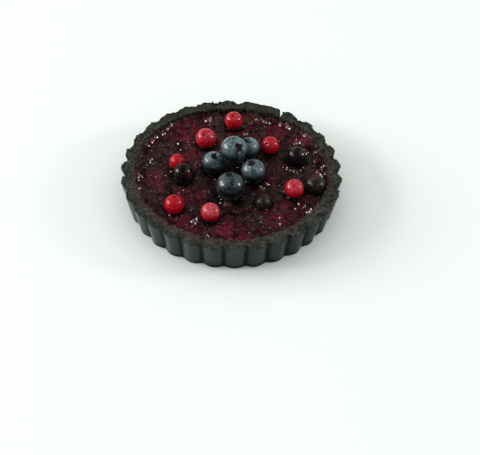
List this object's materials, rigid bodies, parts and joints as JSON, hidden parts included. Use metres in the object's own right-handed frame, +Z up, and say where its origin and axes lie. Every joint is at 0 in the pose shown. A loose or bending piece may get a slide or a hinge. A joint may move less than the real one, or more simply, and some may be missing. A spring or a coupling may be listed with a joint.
{
  "type": "berry tart",
  "caption": "Round open tart with a dark fluted shortcrust shell, glossy berry jelly and whole blueberries, red berries and dark berries on top.",
  "frame": {"origin": "middle of the tart's flat underside", "axes": "+Z up through the middle of the tart; +Y towards the back, where the rim is cracked; +X to the right"},
  "size_m": [0.1206, 0.1206, 0.0357],
  "materials": {
    "shortcrust": "baked cocoa shortcrust, crumbly on the rim and satin where the tin shaped it",
    "jelly": "wet glossy set berry jelly, dark maroon",
    "blueberry_skin": "slate blue skin under a pale waxy bloom",
    "red_berry_skin": "smooth crimson skin with a faint frosted bloom",
    "dark_berry_skin": "near-black glossy skin under glaze"
  },
  "bodies": {
    "root": {"crust": "shortcrust", "jelly": "jelly", "blueberry_1": "blueberry_skin", "blueberry_2": "blueberry_skin", "blueberry_3": "blueberry_skin", "blueberry_4": "blueberry_skin", "blueberry_5": "blueberry_skin", "red_berry_1": "red_berry_skin", "red_berry_2": "red_berry_skin", "red_berry_3": "red_berry_skin", "red_berry_4": "red_berry_skin", "red_berry_5": "red_berry_skin", "red_berry_6": "red_berry_skin", "red_berry_7": "red_berry_skin", "dark_berry_1": "dark_berry_skin", "dark_berry_2": "dark_berry_skin", "dark_berry_3": "dark_berry_skin", "dark_berry_4": "dark_berry_skin"}
  },
  "joints": []
}
